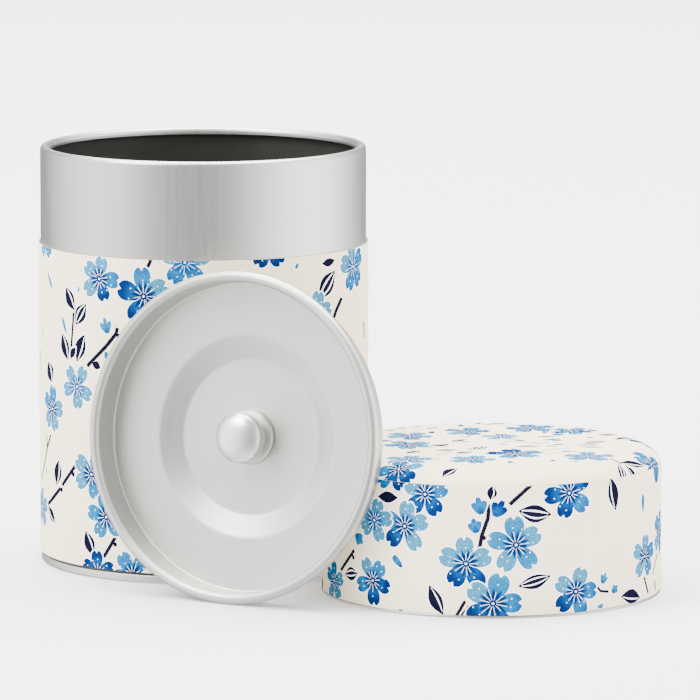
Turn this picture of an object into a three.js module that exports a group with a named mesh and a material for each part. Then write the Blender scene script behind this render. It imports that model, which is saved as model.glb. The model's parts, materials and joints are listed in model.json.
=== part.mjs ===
// Paper-covered double-lid caddy, taken apart as it stands on a shelf: the open canister, the
// inner lid leaning against it and the outer lid standing on its open end beside it.
// Millimetres, +Z up, origin at the middle of the footprint on the floor.

import * as THREE from "three";

// ---- Driving dimensions ----------------------------------------------------------------

const SEGMENTS = 64; // round the large shells, the same on all so that they nest
const KNOB_SEGMENTS = 32;

// Canister
const NECK_R = 40.0; // outside of the bare neck
const RIM_Z = 102.6; // crown of the curled rim
const PAPER_TOP_Z = 78.9; // where the paper ends below the neck
const INNER_WALL = 0.45; // sheet of the inner barrel
const CURL_R = 1.15; // half the width of the curled rim
const CURL_DROP = 0.65; // how far the curl's free edge hangs below its bend
const BARREL_GAP = 0.03;
const BARREL_WALL = 0.3;
const PAPER_GAP = 0.03;
const PAPER_WALL = 0.2;
const FOOT_R = 40.2; // bottom end's foot ring
const FOOT_TOP_Z = 2.0;
const FOOT_PANEL_Z = 1.2; // underside of the recessed bottom panel
const FOOT_SHEET = 0.5;
const BODY_GAP = 0.35; // shadow gap between the foot ring and the barrel
const LINER_LIFT = 0.05; // inner barrel's edge above the foot ring
const PAPER_EDGE = 0.1; // how far the barrel stands out of the paper below
const PAPER_LAP = 0.15; // and how far the paper stands out of the barrel above
const PAPER_SOFTEN = 0.06;
const PLUG_CLEARANCE = 0.1; // inner barrel over the bottom end's plug
const PLUG_TOP_Z = 6;
const PANEL_R = 37.2; // the recessed bottom panel
const FOOT_INNER_R = 38.4; // flat of the foot ring that stands on the floor
const FOOT_OUTER_R = 39.8;
const FOOT_CORNER = 0.3;
const PANEL_CORNER = 0.5;

// Outer lid
const LID_PAPER_R = 40.9; // outside of the side paper
const LID_Z = 34.85; // crown of the lid
const LID_EDGE_X = 8.0; // the crown's rounded edge, inward
const LID_EDGE_Z = 4.6; // and downward
const LID_INNER_R = 40.15; // slides over the neck
const LID_SHEET = 0.35;
const LID_PAPER_GAP = 0.05;
const LID_HEM_Z = 0.6; // rolled lower edge of the tin
const LID_JOIN_DROP = 3.45; // crown down to the join between the top and the side paper
const LID_PAPER_LIFT = 0.08; // side paper's edge above the hem
const LID_PAPER_JOIN = 0.06; // gap between the side paper and the top paper
const HEM_CORNER = 0.12;
const HEM_LIP = 0.1; // how far the hem's inner corner is eased

// Inner lid, in its own frame: z = 0 on top of the bead, the dish below it
const BEAD_R = 39.54; // rests on the canister's curled rim
const DISH_R = 37.4; // plugs into the neck
const DISH_SHEET = 0.45;
const BEAD_DROP = 1.9; // bead's free edge below its crown
const FLOOR_DEPTH = 7.75; // crown of the bead down to the flat floor
const RECESS_DEPTH = 2.2; // floor down to the recessed centre
const RECESS_OUTER_R = 24.2;
const RECESS_INNER_R = 18.6;
const RECESS_STEP = 0.1; // the cone's upper face stands in from its lower one
const DISH_CORNER = 0.9; // outside, where the wall meets the floor
const DISH_INNER_CORNER = 0.5;
const SHANK_R = 1.5;
const SHANK_CLEARANCE = 0.1;

// Knob, heights above the recessed centre
const FLANGE_R = 6.7;
const FLANGE_H = 2.1;
const FLANGE_CORNER = 0.5;
const FLANGE_BULGE = 0.6; // half the height of its rounded edge
const FLANGE_BULGE_H = 0.8;
const FLANGE_NECK = 0.6; // how far its top stands out of the waist
const WAIST_R = 4.1;
const PLATE_H = 0.6; // the plate that the cap is crimped on
const RIVET_R = 2.6; // peened end under the dish
const RIVET_H = 1.0;
const RIVET_EDGE_H = 0.4;
const CAP_R = 6.2;
const CAP_EDGE_H = 4.4;
const CAP_CORNER = 0.3;
const CAP_SIDE_H = 1.1; // the cap's edge up to the foot of its dome
const CAP_TOP_H = 8.5;
const CAP_SHEET = 0.45;
const KNOB_GAP = 0.1;

// Where the loose pieces stand
const LID_OFFSET = new THREE.Vector2(69.9, -43.3); // outer lid's axis from the canister's axis
const INNER_LID_OFFSET = new THREE.Vector2(7.55, -62.47); // middle of its bead from the same axis
const INNER_LID_TURN = THREE.MathUtils.degToRad(29.6); // which way its dish faces, left of the front
const INNER_LID_LEAN = THREE.MathUtils.degToRad(6.3); // how far it leans back

// ---- Materials -------------------------------------------------------------------------

const finish = (color, roughness, metalness) =>
  new THREE.MeshStandardMaterial({ color, roughness, metalness });
const SATIN_TIN = finish(0xc4c6c2, 0.38, 0.9);
const DARK_TIN = finish(0x8e908c, 0.5, 0.9);
const PALE_TIN = finish(0xd2d3cf, 0.42, 0.85);
const BRIGHT_METAL = finish(0xdcdddb, 0.25, 0.95);
const WASHI = finish(0xebe4d8, 0.85, 0.0);

// ---- Helpers ---------------------------------------------------------------------------

/** Points on an elliptical arc, from one angle to another in degrees, both ends included. */
function arc(centreR, centreZ, radiusR, radiusZ, fromDeg, toDeg, steps) {
  const points = [];
  for (let i = 0; i <= steps; i += 1) {
    const angle = THREE.MathUtils.degToRad(fromDeg + ((toDeg - fromDeg) * i) / steps);
    points.push([centreR + radiusR * Math.cos(angle), centreZ + radiusZ * Math.sin(angle)]);
  }
  return points;
}

/** Turns an [r, z] section about Z. A section off the axis is closed on itself. */
function turned(name, section, material, segments = SEGMENTS) {
  const points = section.map(([r, z]) => new THREE.Vector2(r, z));
  if (section[0][0] > 0) points.push(points[0].clone());
  const geometry = new THREE.LatheGeometry(points, segments);
  geometry.rotateX(Math.PI / 2);
  const mesh = new THREE.Mesh(geometry, material);
  mesh.name = name;
  return mesh;
}

// ---- Canister --------------------------------------------------------------------------

const barrelInnerR = NECK_R + BARREL_GAP;
const barrelOuterR = barrelInnerR + BARREL_WALL;
const paperInnerR = barrelOuterR + PAPER_GAP;
const bodyR = paperInnerR + PAPER_WALL;

/** The drawn sleeve that lines the canister and stands out of it as the neck, rim curled in. */
function innerBarrel() {
  const bendR = NECK_R - CURL_R;
  const bendZ = RIM_Z - CURL_R;
  const innerBend = CURL_R - INNER_WALL;
  const footZ = FOOT_TOP_Z + LINER_LIFT;
  return turned(
    "inner_barrel",
    [
      [NECK_R, footZ],
      ...arc(bendR, bendZ, CURL_R, CURL_R, 0, 180, 6),
      [bendR - CURL_R, bendZ - CURL_DROP],
      [bendR - innerBend, bendZ - CURL_DROP],
      ...arc(bendR, bendZ, innerBend, innerBend, 180, 0, 3),
      [NECK_R - INNER_WALL, footZ],
    ],
    SATIN_TIN,
  );
}

/** The outer tin barrel that carries the paper. */
function outerBarrel() {
  const lowZ = FOOT_TOP_Z + BODY_GAP;
  const highZ = PAPER_TOP_Z - PAPER_LAP;
  return turned(
    "outer_barrel",
    [
      [barrelOuterR, lowZ],
      [barrelOuterR, highZ],
      [barrelInnerR, highZ],
      [barrelInnerR, lowZ],
    ],
    DARK_TIN,
  );
}

/** The paper glued round the barrel. */
function bodyPaper() {
  const lowZ = FOOT_TOP_Z + BODY_GAP + PAPER_EDGE;
  return turned(
    "body_paper",
    [
      [bodyR - PAPER_SOFTEN, lowZ],
      [bodyR, lowZ + PAPER_SOFTEN],
      [bodyR, PAPER_TOP_Z - PAPER_SOFTEN],
      [bodyR - PAPER_SOFTEN, PAPER_TOP_Z],
      [paperInnerR, PAPER_TOP_Z],
      [paperInnerR, lowZ],
    ],
    WASHI,
  );
}

/** The pressed bottom: foot ring, recessed panel and the plug that the inner barrel stands over. */
function bottomEnd() {
  const plugR = NECK_R - INNER_WALL - PLUG_CLEARANCE;
  const plugInnerR = plugR - FOOT_SHEET;
  const panelTopZ = FOOT_PANEL_Z + FOOT_SHEET;
  return turned(
    "bottom_end",
    [
      [0, FOOT_PANEL_Z],
      [PANEL_R, FOOT_PANEL_Z],
      [FOOT_INNER_R, 0],
      [FOOT_OUTER_R, 0],
      [FOOT_R, FOOT_R - FOOT_OUTER_R],
      [FOOT_R, FOOT_TOP_Z - FOOT_CORNER],
      [FOOT_R - FOOT_CORNER, FOOT_TOP_Z],
      [plugR, FOOT_TOP_Z],
      [plugR, PLUG_TOP_Z],
      [plugInnerR, PLUG_TOP_Z],
      [plugInnerR, panelTopZ + PANEL_CORNER],
      [plugInnerR - PANEL_CORNER, panelTopZ],
      [0, panelTopZ],
    ],
    PALE_TIN,
  );
}

function canister() {
  const group = new THREE.Group();
  group.add(innerBarrel(), outerBarrel(), bodyPaper(), bottomEnd());
  return group;
}

// ---- Inner lid -------------------------------------------------------------------------

const recessZ = -FLOOR_DEPTH - RECESS_DEPTH; // upper face of the recessed centre
const holeR = SHANK_R + SHANK_CLEARANCE;

/** The drawn dish: beaded rim, wall, flat floor, cone and recessed centre with the knob's hole. */
function dish() {
  const bendRadius = (BEAD_R - DISH_R) / 2 + DISH_SHEET / 2;
  const outerBendR = BEAD_R - bendRadius;
  const innerBend = bendRadius - DISH_SHEET;
  const floorUnderZ = -FLOOR_DEPTH - DISH_SHEET;
  const recessUnderZ = recessZ - DISH_SHEET;
  const cornerR = DISH_R - DISH_CORNER;
  const innerCornerR = DISH_R - DISH_SHEET - DISH_INNER_CORNER;
  const innerCornerZ = -FLOOR_DEPTH + DISH_INNER_CORNER;
  return turned(
    "inner_lid_dish",
    [
      [holeR, recessUnderZ],
      [RECESS_INNER_R, recessUnderZ],
      [RECESS_OUTER_R, floorUnderZ],
      ...arc(cornerR, floorUnderZ + DISH_CORNER, DISH_CORNER, DISH_CORNER, -90, 0, 2),
      ...arc(outerBendR, -bendRadius, innerBend, innerBend, 180, 0, 3),
      [BEAD_R - DISH_SHEET, -BEAD_DROP],
      [BEAD_R, -BEAD_DROP],
      ...arc(outerBendR, -bendRadius, bendRadius, bendRadius, 0, 180, 6),
      ...arc(innerCornerR, innerCornerZ, DISH_INNER_CORNER, DISH_INNER_CORNER, 0, -90, 2),
      [RECESS_OUTER_R - RECESS_STEP, -FLOOR_DEPTH],
      [RECESS_INNER_R - RECESS_STEP, recessZ],
      [holeR, recessZ],
    ],
    PALE_TIN,
  );
}

/** The turned collar between the knob and the dish. */
function knobFlange() {
  const foot = recessZ + KNOB_GAP;
  const bulgeZ = recessZ + FLANGE_BULGE_H;
  return turned(
    "knob_flange",
    [
      [holeR, foot],
      [FLANGE_R - FLANGE_CORNER, foot],
      ...arc(FLANGE_R - FLANGE_CORNER, bulgeZ, FLANGE_CORNER, FLANGE_BULGE, -70, 80, 4),
      [WAIST_R + FLANGE_NECK, recessZ + FLANGE_H],
      [holeR, recessZ + FLANGE_H],
    ],
    PALE_TIN,
    KNOB_SEGMENTS,
  );
}

/** The knob's core: shank peened under the dish, waist, and the plate that the cap is crimped on. */
function knobStem() {
  const waistFoot = recessZ + FLANGE_H + KNOB_GAP;
  const plateZ = recessZ + CAP_EDGE_H + CAP_SHEET + KNOB_GAP;
  const plateR = CAP_R - CAP_SHEET - KNOB_GAP;
  const tailZ = recessZ - DISH_SHEET - KNOB_GAP;
  return turned(
    "knob_stem",
    [
      [0, tailZ - RIVET_H],
      [SHANK_R, tailZ - RIVET_H],
      [RIVET_R, tailZ - RIVET_EDGE_H],
      [RIVET_R, tailZ],
      [SHANK_R, tailZ],
      [SHANK_R, waistFoot],
      [WAIST_R, waistFoot],
      [WAIST_R, plateZ],
      [plateR, plateZ],
      [plateR, plateZ + PLATE_H],
      [0, plateZ + PLATE_H],
    ],
    PALE_TIN,
    KNOB_SEGMENTS,
  );
}

/** The pressed dome of the knob, its edge crimped in under the stem's plate. */
function knobCap() {
  const edgeZ = recessZ + CAP_EDGE_H;
  const sideZ = edgeZ + CAP_SIDE_H;
  const domeH = CAP_TOP_H - CAP_EDGE_H - CAP_SIDE_H;
  const crimpR = WAIST_R + KNOB_GAP;
  const innerR = CAP_R - CAP_SHEET;
  return turned(
    "knob_cap",
    [
      [crimpR, edgeZ],
      [CAP_R - CAP_CORNER, edgeZ],
      [CAP_R, edgeZ + CAP_CORNER],
      ...arc(0, sideZ, CAP_R, domeH, 0, 90, 7),
      ...arc(0, sideZ, innerR, domeH - CAP_SHEET, 90, 0, 4),
      [innerR, edgeZ + CAP_SHEET],
      [crimpR, edgeZ + CAP_SHEET],
    ],
    BRIGHT_METAL,
    KNOB_SEGMENTS,
  );
}

/** The inner lid stands on its bead, turned to the left of the front and leaning back. */
function innerLid() {
  const group = new THREE.Group();
  group.add(dish(), knobFlange(), knobStem(), knobCap());
  const turn = new THREE.Quaternion().setFromAxisAngle(new THREE.Vector3(0, 0, 1), -INNER_LID_TURN);
  const tip = new THREE.Quaternion().setFromAxisAngle(
    new THREE.Vector3(1, 0, 0),
    Math.PI / 2 - INNER_LID_LEAN,
  );
  group.quaternion.copy(turn.multiply(tip));
  return group;
}

// ---- Outer lid -------------------------------------------------------------------------

const shellR = LID_INNER_R + LID_SHEET;
const sidePaperInnerR = shellR + LID_PAPER_GAP;
const lidPaperWall = LID_PAPER_R - sidePaperInnerR;
const joinZ = LID_Z - LID_JOIN_DROP;

/** Section of the crown's rounded edge, a given depth below the paper's outer face. */
function crownEdge(depth, fromDeg, toDeg, steps) {
  const edgeX = LID_EDGE_X - depth;
  const edgeZ = LID_EDGE_Z - depth;
  return arc(LID_PAPER_R - LID_EDGE_X, LID_Z - LID_EDGE_Z, edgeX, edgeZ, fromDeg, toDeg, steps);
}

/** Angle on the crown's edge, at a given depth, where it passes a height. */
function crownAngle(depth, z) {
  return THREE.MathUtils.radToDeg(Math.asin((z - LID_Z + LID_EDGE_Z) / (LID_EDGE_Z - depth)));
}

/** The drawn cap of the outer lid, with a rolled lower edge. */
function lidShell() {
  const outerDepth = LID_PAPER_R - shellR;
  const innerDepth = LID_PAPER_R - LID_INNER_R;
  return turned(
    "lid_shell",
    [
      [LID_INNER_R + HEM_LIP, 0],
      [LID_PAPER_R - HEM_CORNER, 0],
      [LID_PAPER_R, HEM_CORNER],
      [LID_PAPER_R, LID_HEM_Z - HEM_CORNER],
      [shellR, LID_HEM_Z],
      ...crownEdge(outerDepth, 0, 90, 7),
      [0, LID_Z - outerDepth],
      [0, LID_Z - innerDepth],
      ...crownEdge(innerDepth, 90, 0, 5),
      [LID_INNER_R, HEM_LIP],
    ],
    SATIN_TIN,
  );
}

/** The strip of paper round the lid's side. */
function lidSidePaper() {
  const lowZ = LID_HEM_Z + LID_PAPER_LIFT;
  const highZ = joinZ - LID_PAPER_JOIN;
  const inner = lidPaperWall;
  return turned(
    "lid_side_paper",
    [
      [LID_PAPER_R, lowZ],
      ...crownEdge(0, 0, crownAngle(0, highZ), 2),
      ...crownEdge(inner, crownAngle(inner, highZ), 0, 2),
      [sidePaperInnerR, lowZ],
    ],
    WASHI,
  );
}

/** The disc of paper over the crown, its edge turned down over the side paper's edge. */
function lidTopPaper() {
  const inner = lidPaperWall;
  return turned(
    "lid_top_paper",
    [
      ...crownEdge(0, crownAngle(0, joinZ), 90, 8),
      [0, LID_Z],
      [0, LID_Z - inner],
      ...crownEdge(inner, 90, crownAngle(inner, joinZ), 8),
    ],
    WASHI,
  );
}

function outerLid() {
  const group = new THREE.Group();
  group.add(lidShell(), lidSidePaper(), lidTopPaper());
  return group;
}

// ---- The three parts on the floor ------------------------------------------------------

// The origin is midway between the canister's far left and back and the lid's far right and front.
const canisterX = -(LID_OFFSET.x + LID_PAPER_R - bodyR) / 2;
const canisterY = -(LID_OFFSET.y - LID_PAPER_R + bodyR) / 2;

const can = canister();
can.position.set(canisterX, canisterY, 0);

const lid = outerLid();
lid.position.set(canisterX + LID_OFFSET.x, canisterY + LID_OFFSET.y, 0);

const plug = innerLid();
plug.position.set(canisterX + INNER_LID_OFFSET.x, canisterY + INNER_LID_OFFSET.y, 0);
plug.updateMatrixWorld(true);
plug.position.z = -new THREE.Box3().setFromObject(plug, true).min.z;

const group = new THREE.Group();
group.add(can, plug, lid);

export default group;
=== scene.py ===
"""Open double-lid caddy: a paper-covered tin, its dished inner lid and its slip-on outer lid.

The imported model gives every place. This script makes the fine surfaces, the printed paper, the
materials, the lights and the camera. Sections and prints are in millimetres, angles in degrees.
"""
import json
import math
import random

import bpy
from mathutils import Matrix, Vector, geometry

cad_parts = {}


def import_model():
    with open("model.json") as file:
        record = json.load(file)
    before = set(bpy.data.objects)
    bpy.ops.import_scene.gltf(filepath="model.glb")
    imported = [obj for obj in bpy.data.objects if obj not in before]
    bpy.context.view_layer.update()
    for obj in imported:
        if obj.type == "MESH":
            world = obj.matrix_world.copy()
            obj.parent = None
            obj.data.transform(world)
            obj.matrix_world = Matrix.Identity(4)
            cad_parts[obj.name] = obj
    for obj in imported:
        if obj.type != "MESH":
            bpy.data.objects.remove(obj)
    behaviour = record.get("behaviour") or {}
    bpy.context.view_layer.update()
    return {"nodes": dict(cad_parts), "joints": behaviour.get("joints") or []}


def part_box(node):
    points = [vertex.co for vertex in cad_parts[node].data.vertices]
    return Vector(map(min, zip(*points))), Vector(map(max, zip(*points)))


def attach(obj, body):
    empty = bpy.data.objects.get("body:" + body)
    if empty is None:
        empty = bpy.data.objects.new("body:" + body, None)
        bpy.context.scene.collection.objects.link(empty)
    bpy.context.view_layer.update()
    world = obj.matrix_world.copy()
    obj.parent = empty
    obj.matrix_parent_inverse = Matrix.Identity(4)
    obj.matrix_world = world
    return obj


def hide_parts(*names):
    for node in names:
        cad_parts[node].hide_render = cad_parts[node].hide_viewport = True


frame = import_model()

MM = 0.001
TAU = 2 * math.pi
ON_AXIS = 1e-6

# ---- Camera ------------------------------------------------------------------------------

CAMERA_PLACE = Vector((0.0009, -1.5157, 0.2728))
CAMERA_DOWN = 8.19  # degrees below the horizon
CAMERA_LENS = 324.2
SENSOR = 36

# ---- Sizes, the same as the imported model's -----------------------------------------------

NECK_R = 40.0
RIM_Z = 102.6
INNER_WALL = 0.45
CURL_R = 1.15
CURL_DROP = 0.65
CURL_SOFTEN = 0.12
LINER_STEPS = 12  # round the inside of the curl
LINER_LIFT = 0.05  # liner's edge above the foot ring
SHADE_PAINT_TOP = 3.4  # painted shade inside the gap above the foot ring, up to this height
SEAM_AT = 28.3  # the neck's lap seam, degrees from +X
SEAM_STEP = 0.1
SEAM_FADE = 14  # how fast the step fades away round the neck
BARREL_INNER_R = 40.03
BARREL_OUTER_R = 40.33
TUBE_LIFT = 0.12  # barrel's lower edge above the paper's
TUBE_DROP = 0.15  # and its upper edge below the paper's
PAPER_R = 40.56
PAPER_LOW = 2.62
PAPER_TOP = 78.9
FOOT_R = 40.2
FOOT_TOP = 2.0
FOOT_PANEL = 1.2
FOOT_SHEET = 0.5
PANEL_R = 37.2
PANEL_STEP = 0.3
PANEL_RING = (24, 31)
PLUG_CLEARANCE = 0.1
PLUG_TOP = 6

LID_R = 40.9
LID_Z = 34.85
LID_EDGE_X = 8.0
LID_EDGE_Z = 4.6
LID_INNER_R = 40.15
LID_SHEET = 0.35
LID_HEM_Z = 0.6
LID_SIDE_LOW = 0.68
LID_SIDE_TOP = 31.34
LID_JOIN_Z = 31.4

BEAD_R = 39.54
DISH_R = 37.4
DISH_SHEET = 0.45
BEAD_DROP = 1.9
FLOOR_DEPTH = 7.75
RECESS_DEPTH = 2.2
RECESS_OUTER_R = 24.2
RECESS_INNER_R = 18.6
HOLE_R = 1.6
RECESS_Z = -FLOOR_DEPTH - RECESS_DEPTH

# The knob's, with heights above the recessed centre
KNOB_GAP = 0.1
FLANGE_R = 6.7
FLANGE_H = 2.1
SHANK_R = 1.5
WAIST_R = 4.1
RIVET_R = 2.6
PLATE_H = 0.6
CAP_R = 6.2
CAP_EDGE_H = 4.4
CAP_SIDE_H = 1.1
CAP_TOP_H = 8.5
CAP_SHEET = 0.45
CAP_CRIMP = 0.08

PAPER_SHEET = 0.18
SEAM_LAP = 4.0  # how far a paper strip's end laps over its start, at the back
SEAM_LIFT = 0.03  # air under the lap
SEGMENTS = 256
SMOOTH_ANGLE = math.radians(38)

# ---- Places of the three loose parts -----------------------------------------------------


def upright_place(node):
    """Where an upright turned part stands: its axis, on the floor."""
    low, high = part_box(node)
    return Matrix.Translation(((low.x + high.x) / 2, (low.y + high.y) / 2, 0))


def inner_lid_place():
    """The leaning inner lid's own frame: z along its knob, zero at the crown of its bead."""
    joint = next(j for j in frame["joints"] if j["name"] == "inner_lid_pull")
    outward = Vector(joint["axis"]).normalized()
    across = Vector((0, 0, 1)).cross(outward).normalized()
    up = outward.cross(across)
    corners = [v.co for v in frame["nodes"]["inner_lid_dish"].data.vertices]

    def reach(direction):
        along = [corner.dot(direction) for corner in corners]
        return min(along), max(along)

    origin = across * (sum(reach(across)) / 2) + up * (sum(reach(up)) / 2) + outward * reach(outward)[1]
    turn = Matrix((across, up, outward)).transposed().to_4x4()
    return Matrix.Translation(origin) @ turn


CANISTER = upright_place("inner_barrel")
OUTER_LID = upright_place("lid_shell")
INNER_LID = inner_lid_place()

# ---- Turned metal ------------------------------------------------------------------------


def arc(centre_r, centre_z, radius_r, radius_z, start, end, steps):
    """Points on an elliptical arc, in degrees, both ends included."""
    points = []
    for i in range(steps + 1):
        angle = math.radians(start + (end - start) * i / steps)
        points.append((centre_r + radius_r * math.cos(angle), centre_z + radius_z * math.sin(angle)))
    return points


def rounded(corners, steps=5):
    """An outline through (r, z, fillet) corners. Corners with no fillet stay sharp."""
    points = []
    for i, (r, z, fillet) in enumerate(corners):
        here = Vector((r, z))
        if not fillet:
            points.append((r, z))
            continue
        back = Vector(corners[i - 1][:2]) - here
        ahead = Vector(corners[(i + 1) % len(corners)][:2]) - here
        half = back.angle(ahead) / 2
        reach = min(fillet / math.tan(half), 0.48 * back.length, 0.48 * ahead.length)
        radius = reach * math.tan(half)
        middle = here + (back.normalized() + ahead.normalized()).normalized() * (radius / math.sin(half))
        start = here + back.normalized() * reach - middle
        turn = start.angle_signed(here + ahead.normalized() * reach - middle)
        for k in range(steps + 1):
            angle = -turn * k / steps
            c, s = math.cos(angle), math.sin(angle)
            points.append((middle.x + start.x * c - start.y * s, middle.y + start.x * s + start.y * c))
    return points


def new_piece(name, verts, faces, where):
    """A mesh from millimetre points in a part's own frame, riding on its body in place of its nodes.
    Where is the part's place, body, material slot (not used) and the nodes that the piece replaces."""
    place, body, slot, nodes = where
    mesh = bpy.data.meshes.new(name)
    mesh.from_pydata([place @ (Vector(v) * MM) for v in verts], [], faces)
    local = mesh.attributes.new("local", "FLOAT_VECTOR", "POINT")
    local.data.foreach_set("vector", [x for v in verts for x in v])
    piece = bpy.data.objects.new(name, mesh)
    bpy.context.scene.collection.objects.link(piece)
    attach(piece, body)
    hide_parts(*nodes)
    return piece


def section_rings(section, seam):
    """The points of a turned section, and which of them each section point's ring uses. A seam is a
    step inward that fades away round the part."""
    rings = []
    verts = []
    for r, z in section:
        if r < ON_AXIS:
            rings.append([len(verts)] * SEGMENTS)
            verts.append((0, 0, z))
            continue
        rings.append(range(len(verts), len(verts) + SEGMENTS))
        for k in range(SEGMENTS):
            past = (k / SEGMENTS - SEAM_AT / 360) % 1
            radius = r - seam * math.exp(-past * SEAM_FADE)
            angle = TAU * k / SEGMENTS
            verts.append((radius * math.cos(angle), radius * math.sin(angle), z))
    return verts, rings


def turned(name, section, where, materials, change=None, seam=0.0):
    """Turns an (r, z) section about the part's own axis. From the point numbered change on, the
    second material is used."""
    verts, rings = section_rings(section, seam)
    faces = []
    choices = []
    last = len(section) if section[0][0] > ON_AXIS else len(section) - 1
    for i in range(last):
        a, b = rings[i], rings[(i + 1) % len(section)]
        for k in range(SEGMENTS):
            n = (k + 1) % SEGMENTS
            corners = [a[k], a[n], b[n], b[k]]
            faces.append(list(dict.fromkeys(corners)))
            choices.append(1 if change is not None and i >= change else 0)
    piece = new_piece(name, verts, faces, where)
    for material in materials:
        piece.data.materials.append(material)
    piece.data.polygons.foreach_set("material_index", choices)
    piece.data.polygons.foreach_set("use_smooth", [True] * len(faces))
    piece.data.set_sharp_from_angle(angle=SMOOTH_ANGLE)
    return piece


# ---- Material helpers --------------------------------------------------------------------


def set_range(node, start, end, low, high):
    """Sets a map range node to take start..end to low..high."""
    for socket, number in (("From Min", start), ("From Max", end), ("To Min", low), ("To Max", high)):
        node.inputs[socket].default_value = number


class Finish:
    """A material with a Principled shader and short calls for the nodes that feed it."""

    def __init__(self, name, **sockets):
        self.material = bpy.data.materials.new(name)
        self.material.use_nodes = True
        self.tree = self.material.node_tree
        self.shader = self.tree.nodes["Principled BSDF"]
        for socket, value in sockets.items():
            self.shader.inputs[socket.replace("_", " ")].default_value = value

    def node(self, kind, **settings):
        node = self.tree.nodes.new(kind)
        for key, value in settings.items():
            setattr(node, key, value)
        return node

    def link(self, output, socket):
        self.tree.links.new(output, socket)

    def attribute(self, name):
        return self.node("ShaderNodeAttribute", attribute_name=name)

    def noise(self, stretch, detail=3.0, name="local"):
        """Noise over the part's millimetre coordinates, each scaled by its number in stretch."""
        mapping = self.node("ShaderNodeMapping")
        mapping.inputs["Scale"].default_value = stretch
        self.link(self.attribute(name).outputs["Vector"], mapping.inputs["Vector"])
        noise = self.node("ShaderNodeTexNoise")
        noise.inputs["Scale"].default_value = 1.0
        noise.inputs["Detail"].default_value = detail
        self.link(mapping.outputs["Vector"], noise.inputs["Vector"])
        return noise.outputs["Fac"]

    def spread(self, value, low, high, start=0.25, end=0.75):
        """Maps a noise value from start..end to low..high."""
        ranger = self.node("ShaderNodeMapRange")
        set_range(ranger, start, end, low, high)
        self.link(value, ranger.inputs["Value"])
        return ranger.outputs["Result"]

    def maths(self, operation, first, second):
        node = self.node("ShaderNodeMath", operation=operation)
        for socket, value in zip(node.inputs, (first, second)):
            if isinstance(value, (int, float)):
                socket.default_value = value
            else:
                self.link(value, socket)
        return node.outputs[0]

    def blend(self, factor, first, second, mode="MIX"):
        node = self.node("ShaderNodeMix", data_type="RGBA", blend_type=mode)
        for number, value in ((0, factor), (6, first), (7, second)):
            socket = node.inputs[number]
            if isinstance(value, (int, float)):
                socket.default_value = value
            elif isinstance(value, tuple):
                socket.default_value = (*value, 1)
            else:
                self.link(value, socket)
        return node.outputs[2]

    def bump(self, height, strength, distance_mm, under=None):
        bump = self.node("ShaderNodeBump")
        bump.inputs["Strength"].default_value = strength
        bump.inputs["Distance"].default_value = distance_mm * MM
        self.link(height, bump.inputs["Height"])
        if under is not None:
            self.link(under, bump.inputs["Normal"])
        return bump.outputs["Normal"]

    def feed(self, **sources):
        for socket, output in sources.items():
            self.link(output, self.shader.inputs[socket.replace("_", " ")])


def tin(name, colour, roughness, grain, spread=0.05):
    """Rolled tinplate: fine grain stretched along one way, faint smudges and tiny pits."""
    finish = Finish(name, Metallic=1.0)
    lines = finish.noise(grain, 4.0)
    smudge = finish.noise((0.06, 0.06, 0.06), 2.0)
    pits = finish.noise((1.6, 1.6, 1.6), 3.0)
    darker = tuple(c * 0.93 for c in colour)
    tone = finish.blend(finish.spread(lines, 0, 1), darker, colour)
    tone = finish.blend(finish.spread(smudge, 0, 0.5), tone, tuple(c * 0.95 for c in colour))
    streaks = finish.spread(lines, -spread, spread)
    rough = finish.maths("ADD", streaks, finish.spread(smudge, roughness, roughness + spread))
    normal = finish.bump(lines, 0.10, 0.02)
    normal = finish.bump(pits, 0.06, 0.03, normal)
    finish.feed(Base_Color=tone, Roughness=rough, Normal=normal)
    return finish.material


def lacquer():
    """Painted shade: a near-black, faintly clouded coat on the tin's inside, where bare tin lies in shadow,
    and in the gap above the foot ring.
    """
    finish = Finish("dark_lacquer", Metallic=0.0, Specular_IOR_Level=0.35)
    cloud = finish.noise((0.05, 0.05, 0.05), 3.0)
    fine = finish.noise((2.2, 2.2, 0.3), 3.0)
    tone = finish.blend(finish.spread(cloud, 0, 1), (0.022, 0.023, 0.020), (0.034, 0.035, 0.031))
    finish.feed(
        Base_Color=tone,
        Roughness=finish.spread(fine, 0.34, 0.5),
        Normal=finish.bump(fine, 0.12, 0.03),
    )
    return finish.material


def washi():
    """Printed washi: cream paper with long fibres and a faint laid crosshatch, ink sunk into it."""
    finish = Finish("washi", Metallic=0.0, Specular_IOR_Level=0.02)
    across = finish.noise((0.035, 5.0, 1.0), 3.0, "flat")
    along = finish.noise((5.0, 0.035, 1.0), 3.0, "flat")
    fibre = finish.noise((1.1, 3.4, 1.0), 5.0, "flat")
    cloud = finish.noise((0.045, 0.06, 1.0), 2.0, "flat")
    grit = finish.noise((2.4, 2.4, 1.0), 4.0, "flat")
    laid = finish.maths("ADD", finish.spread(across, 0, 0.5), finish.spread(along, 0, 0.5))
    cream = finish.blend(finish.spread(cloud, 0, 1), PAPER_WARM, PAPER_PALE)
    cream = finish.blend(finish.spread(laid, 0, 0.34, 0.15, 0.85), cream, PAPER_SHADE)
    cream = finish.blend(finish.spread(fibre, 0, 0.22, 0.5, 0.8), cream, PAPER_LIGHT)
    ink = finish.attribute("ink")
    worn = finish.spread(grit, 0.0, 0.9, 0.47, 0.64)
    inked = finish.blend(worn, ink.outputs["Color"], INK_WORN, "DODGE")
    inked = finish.blend(finish.spread(laid, 0.22, 0.0, 0.3, 0.7), inked, INK_WORN, "DODGE")
    tone = finish.blend(ink.outputs["Alpha"], cream, inked)
    height = finish.maths("ADD", laid, finish.maths("MULTIPLY", fibre, 1.2))
    finish.feed(
        Base_Color=tone,
        Roughness=finish.spread(fibre, 0.72, 0.9),
        Normal=finish.bump(height, 0.22, 0.04),
    )
    return finish.material


# ---- Printed paper -----------------------------------------------------------------------

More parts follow.
